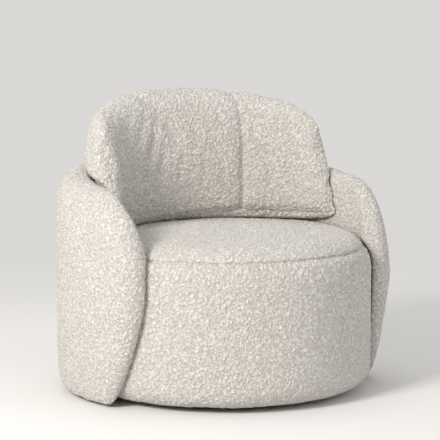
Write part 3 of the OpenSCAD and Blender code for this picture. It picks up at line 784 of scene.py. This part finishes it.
def loop_group():
    """Node group for the loops of the fabric: their colour, darkened between them as painted shade, and their
    height.
    """
    found = bpy.data.node_groups.get("Loop pile")
    if found:
        return found
    tree = bpy.data.node_groups.new("Loop pile", "ShaderNodeTree")
    for name, kind in (("Scale", "NodeSocketFloat"), ("Light", "NodeSocketColor"), ("ValleyShade", "NodeSocketColor")):
        tree.interface.new_socket(name=name, in_out="INPUT", socket_type=kind)
    for name, kind in (("Color", "NodeSocketColor"), ("Height", "NodeSocketFloat")):
        tree.interface.new_socket(name=name, in_out="OUTPUT", socket_type=kind)
    given = node(tree, "NodeGroupInput")
    out = node(tree, "NodeGroupOutput")
    where = node(tree, "ShaderNodeTexCoord")
    link = tree.links.new
    wander = node(tree, "ShaderNodeTexNoise")
    wander.inputs["Scale"].default_value = 120
    wander.inputs["Detail"].default_value = 1
    link(where.outputs["Object"], wander.inputs["Vector"])
    push = node(tree, "ShaderNodeVectorMath", operation="MULTIPLY_ADD")
    push.inputs[1].default_value = (0.006, 0.006, 0.006)
    link(wander.outputs["Color"], push.inputs[0])
    link(where.outputs["Object"], push.inputs[2])
    puffs = node(tree, "ShaderNodeTexVoronoi", feature="SMOOTH_F1")
    puffs.inputs["Smoothness"].default_value = 0.3
    link(push.outputs["Vector"], puffs.inputs["Vector"])
    link(given.outputs["Scale"], puffs.inputs["Scale"])
    puff = ranged(tree, puffs.outputs["Distance"], 0.08, 0.62, 1.0, 0.0)
    curls = node(tree, "ShaderNodeTexNoise")
    curls.inputs["Detail"].default_value = 1.5
    curls.inputs["Distortion"].default_value = 0.8
    link(where.outputs["Object"], curls.inputs["Vector"])
    link(given.outputs["Scale"], curls.inputs["Scale"])
    away = worked(tree, "ABSOLUTE", worked(tree, "SUBTRACT", curls.outputs["Fac"], 0.5), 0.0)
    curl = ranged(tree, away, 0.0, 0.11, 1.0, 0.0)
    raised = worked(tree, "MULTIPLY", puff, PUFF_SHARE)
    height = worked(tree, "ADD", raised, worked(tree, "MULTIPLY", curl, CURL_SHARE))
    link(height, out.inputs["Height"])
    # Painted shade: the colour darkens from the loops' tops down to the valleys between them, where shade falls.
    blend = node(tree, "ShaderNodeMix", data_type="RGBA")
    link(ranged(tree, height, 0.1, 0.75, 0.0, 1.0), blend.inputs["Factor"])
    link(given.outputs["ValleyShade"], blend.inputs["A"])
    link(given.outputs["Light"], blend.inputs["B"])
    link(blend.outputs["Result"], out.inputs["Color"])
    return tree


def shader(name):
    """New material with only its Principled shader and output."""
    material = bpy.data.materials.new(name)
    material.use_nodes = True
    tree = material.node_tree
    return material, tree, tree.nodes["Principled BSDF"]


def bumped(tree, shading, height, distance):
    """Adds a bump of a height in metres to a shader."""
    relief = node(tree, "ShaderNodeBump")
    relief.inputs["Distance"].default_value = distance
    relief.inputs["Strength"].default_value = 1.0
    tree.links.new(height, relief.inputs["Height"])
    tree.links.new(relief.outputs["Normal"], shading.inputs["Normal"])


def boucle():
    """Looped off-white fabric, with painted shade between its loops."""
    found = bpy.data.materials.get("Boucle")
    if found:
        return found
    l = look()
    material, tree, shading = shader("Boucle")
    loops = node(tree, "ShaderNodeGroup", node_tree=loop_group())
    loops.inputs["Scale"].default_value = 1.0 / l.loop_size
    loops.inputs["Light"].default_value = (*l.loop_light, 1.0)
    # The colour between the loops is painted shade.
    loops.inputs["ValleyShade"].default_value = (*l.loop_valley_shade, 1.0)
    tree.links.new(loops.outputs["Color"], shading.inputs["Base Color"])
    shading.inputs["Roughness"].default_value = 0.95
    shading.inputs["Specular IOR Level"].default_value = 0.2
    shading.inputs["Sheen Weight"].default_value = 0.35
    shading.inputs["Sheen Roughness"].default_value = 0.6
    bumped(tree, shading, loops.outputs["Height"], l.loop_height)
    return material


def grained(name, colour_, stretch, roughness):
    """Wood with its grain stretched along its axes."""
    material, tree, shading = shader(name)
    where = node(tree, "ShaderNodeTexCoord")
    turn = node(tree, "ShaderNodeMapping")
    turn.inputs["Scale"].default_value = stretch
    tree.links.new(where.outputs["Object"], turn.inputs["Vector"])
    grain = node(tree, "ShaderNodeTexNoise")
    grain.inputs["Scale"].default_value = 14
    grain.inputs["Detail"].default_value = 6
    tree.links.new(turn.outputs["Vector"], grain.inputs["Vector"])
    tint(tree, shading, grain.outputs["Fac"], colour_, 0.62)
    shading.inputs["Roughness"].default_value = roughness
    bumped(tree, shading, grain.outputs["Fac"], 0.0004)
    return material


def tint(tree, shading, factor, colour_, darker):
    """Base colour that runs from a darker shade to the colour."""
    blend = node(tree, "ShaderNodeMix", data_type="RGBA")
    blend.inputs["A"].default_value = (*[c * darker for c in colour_], 1.0)
    blend.inputs["B"].default_value = (*colour_, 1.0)
    tree.links.new(factor, blend.inputs["Factor"])
    tree.links.new(blend.outputs["Result"], shading.inputs["Base Color"])


def speckled(name, colour_, scale, roughness, relief, metallic=0.0, darker=0.8):
    """Plain surface with fine unevenness: plastic, steel, felt or foam."""
    material, tree, shading = shader(name)
    where = node(tree, "ShaderNodeTexCoord")
    grain = node(tree, "ShaderNodeTexNoise")
    grain.inputs["Scale"].default_value = scale
    grain.inputs["Detail"].default_value = 4
    tree.links.new(where.outputs["Object"], grain.inputs["Vector"])
    tint(tree, shading, grain.outputs["Fac"], colour_, darker)
    shading.inputs["Roughness"].default_value = roughness
    shading.inputs["Metallic"].default_value = metallic
    bumped(tree, shading, grain.outputs["Fac"], relief)
    return material


def node_finish(slot):
    """Material of one of the record's slots."""
    l = look()
    name = slot.replace("_", " ").capitalize()
    found = bpy.data.materials.get(name)
    if found:
        return found
    if slot in ("plywood", "plinth_board", "hardboard"):
        shade = {"plywood": 1.0, "plinth_board": 0.85, "hardboard": 0.55}[slot]
        return grained(name, [c * shade for c in l.plywood], stretch=(1.0, 1.0, 14.0), roughness=0.6)
    if slot == "beech":
        return grained(name, (0.58, 0.39, 0.23), stretch=(9.0, 9.0, 0.6), roughness=0.5)
    if slot in ("bearing_steel", "ball_steel", "dark_steel", "spring_steel"):
        shade = {"bearing_steel": 1.0, "ball_steel": 1.3, "dark_steel": 0.5, "spring_steel": 0.75}[slot]
        return speckled(
            name, [c * shade for c in l.steel], scale=260, roughness=0.32, relief=0.00004, metallic=1.0, darker=0.9)
    if slot == "cage_nylon":
        return speckled(name, (0.55, 0.42, 0.13), scale=300, roughness=0.45, relief=0.00005)
    if slot == "plinth_black":
        return speckled(name, l.plinth, scale=400, roughness=0.6, relief=0.0001)
    if slot == "foam":
        return speckled(name, (0.80, 0.70, 0.42), scale=700, roughness=0.9, relief=0.0006)
    shade = {"felt": 0.03, "dust_cloth": 0.015, "pad_felt": 0.11}.get(slot, 0.7)
    return speckled(name, (shade, shade, shade), scale=900, roughness=0.95, relief=0.0005)


def finish_nodes():
    """Gives each CAD node the material of its slot."""
    for part in frame["record"]["subparts"]:
        slot = part["material_slot"]
        mesh = frame["nodes"][part["node"]].data
        mesh.materials.clear()
        mesh.materials.append(boucle() if slot.endswith("boucle") else node_finish(slot))


def lamp(name, width, height, power, at, towards, colour_=(1.0, 1.0, 1.0)):
    """Rectangular soft light."""
    light = bpy.data.lights.new(name, "AREA")
    light.shape = "RECTANGLE"
    light.size = width
    light.size_y = height
    light.energy = power
    light.color = colour_
    thing = bpy.data.objects.new(name, light)
    thing.location = at
    thing.rotation_euler = (Vector(towards) - Vector(at)).to_track_quat("-Z", "Y").to_euler()
    bpy.context.scene.collection.objects.link(thing)
    return thing


def plain(name, colour_):
    """Matt surface of one colour."""
    material, _, shading = shader(name)
    shading.inputs["Base Color"].default_value = (*colour_, 1.0)
    shading.inputs["Roughness"].default_value = 0.9
    shading.inputs["Specular IOR Level"].default_value = 0.1
    return material


def seen(tree):
    """1 on the rays that the camera and reflections see, and 0 on those that light the chair."""
    path = node(tree, "ShaderNodeLightPath")
    return worked(tree, "MAXIMUM", path.outputs["Is Camera Ray"], path.outputs["Is Glossy Ray"])


def fade_to_backdrop(material):
    """Fades the floor into the backdrop's colour, away from the chair and its shadow."""
    tree = material.node_tree
    where = node(tree, "ShaderNodeTexCoord")
    far = node(tree, "ShaderNodeVectorMath", operation="LENGTH")
    tree.links.new(where.outputs["Object"], far.inputs[0])
    glow = node(tree, "ShaderNodeEmission")
    glow.inputs["Color"].default_value = (*look().backdrop, 1.0)
    away = ranged(tree, far.outputs["Value"], FADE_START, FADE_END, 0.0, 1.0)
    share = worked(tree, "MULTIPLY", seen(tree), away)
    join(tree, share, tree.nodes["Principled BSDF"], glow, tree.nodes["Material Output"])


def join(tree, share, first, second, out):
    """Joins two shaders by a share and sends them to an output."""
    both = node(tree, "ShaderNodeMixShader")
    tree.links.new(share, both.inputs["Fac"])
    tree.links.new(first.outputs[0], both.inputs[1])
    tree.links.new(second.outputs[0], both.inputs[2])
    tree.links.new(both.outputs[0], out.inputs["Surface"])


def build_floor():
    """Wide floor that fades into the backdrop."""
    bm = bmesh.new()
    bmesh.ops.create_grid(bm, x_segments=1, y_segments=1, size=FLOOR_HALF)
    floor = finished("Floor", bm)
    material = plain("Floor", look().floor)
    floor.data.materials.append(material)
    fade_to_backdrop(material)


def build_world():
    """Even light on the chair, with the backdrop's colour behind it."""
    l = look()
    world = bpy.data.worlds.new("Studio")
    bpy.context.scene.world = world
    world.use_nodes = True
    tree = world.node_tree
    sky = tree.nodes["Background"]
    sky.inputs["Color"].default_value = (1.0, 0.99, 0.975, 1.0)
    sky.inputs["Strength"].default_value = l.sky
    backdrop = node(tree, "ShaderNodeBackground")
    backdrop.inputs["Color"].default_value = (*l.backdrop, 1.0)
    join(tree, seen(tree), sky, backdrop, tree.nodes["World Output"])


def build_lamps():
    """Small key light from the left, with wide soft ones from the right and above."""
    l = look()
    lamp("Key", 1.3, 1.3, l.key, (-4.0, -1.7, 2.8), CHAIR_MIDDLE, (1.0, 0.97, 0.93))
    lamp("Fill", 3.0, 2.5, l.fill, (3.6, -3.4, 2.2), CHAIR_MIDDLE, (0.95, 0.975, 1.0))
    lamp("Top", 2.5, 2.5, l.top, (0.3, 0.8, 4.2), CHAIR_TOP)


def build_camera():
    """Camera in the photograph's place."""
    scene = bpy.context.scene
    camera = bpy.data.cameras.new("Camera")
    camera.lens = CAMERA_LENS
    camera.sensor_width = CAMERA_SENSOR
    camera.clip_end = CAMERA_REACH
    thing = bpy.data.objects.new("Camera", camera)
    thing.location = CAMERA_PLACE
    thing.rotation_euler = (CAMERA_TILT, 0.0, CAMERA_TURN)
    scene.collection.objects.link(thing)
    scene.camera = thing


def build_stage():
    """Floor, even light, lamps and camera."""
    build_floor()
    build_world()
    build_lamps()
    build_camera()
    bpy.context.scene.view_settings.view_transform = "Standard"


class TubOperator(bpy.types.Operator):
    """Builds the padded tub with its two arms"""
    bl_idname = "tub_chair.tub"
    bl_label = "Build the tub"

    def execute(self, context):
        build_tub()
        return {"FINISHED"}


class SeatOperator(bpy.types.Operator):
    """Builds the round seat: its top and its side, drawn in along their seam"""
    bl_idname = "tub_chair.seat"
    bl_label = "Build the seat"

    def execute(self, context):
        build_seat()
        return {"FINISHED"}


class CushionOperator(bpy.types.Operator):
    """Builds the lobed back cushion and fills it with cloth pressure"""
    bl_idname = "tub_chair.cushion"
    bl_label = "Build the back cushion"

    def execute(self, context):
        build_cushion()
        return {"FINISHED"}


class FinishOperator(bpy.types.Operator):
    """Gives the frame, bearing and plinth their materials"""
    bl_idname = "tub_chair.finishes"
    bl_label = "Finish the frame's parts"

    def execute(self, context):
        finish_nodes()
        return {"FINISHED"}


class StageOperator(bpy.types.Operator):
    """Sets the floor, the lights and the camera"""
    bl_idname = "tub_chair.stage"
    bl_label = "Set the stage"

    def execute(self, context):
        build_stage()
        return {"FINISHED"}


class ChairPanel(bpy.types.Panel):
    """Sizes, colours and build buttons of the tub chair"""
    bl_idname = "VIEW3D_PT_tub_chair"
    bl_label = "Tub chair"
    bl_space_type = "VIEW_3D"
    bl_region_type = "UI"
    bl_category = "Chair"

    def draw(self, context):
        for operator in OPERATORS:
            self.layout.operator(operator.bl_idname)
        for group in (context.scene.tub_chair_sizes, context.scene.tub_chair_look):
            box = self.layout.box()
            for name in group.__annotations__:
                box.prop(group, name)


OPERATORS = (TubOperator, SeatOperator, CushionOperator, FinishOperator, StageOperator)
CLASSES = (ChairSizes, ChairLook, *OPERATORS, ChairPanel)


def register():
    """Registers the add-on's classes and its settings on the scene."""
    for kind in CLASSES:
        bpy.utils.register_class(kind)
    bpy.types.Scene.tub_chair_sizes = PointerProperty(type=ChairSizes)
    bpy.types.Scene.tub_chair_look = PointerProperty(type=ChairLook)


def unregister():
    """Takes the settings and classes off again."""
    del bpy.types.Scene.tub_chair_look
    del bpy.types.Scene.tub_chair_sizes
    for kind in reversed(CLASSES):
        bpy.utils.unregister_class(kind)


def main():
    """Builds every piece and the stage."""
    register()
    for operator in OPERATORS:
        group, name = operator.bl_idname.split(".")
        getattr(getattr(bpy.ops, group), name)()


if __name__ == "__main__":
    main()
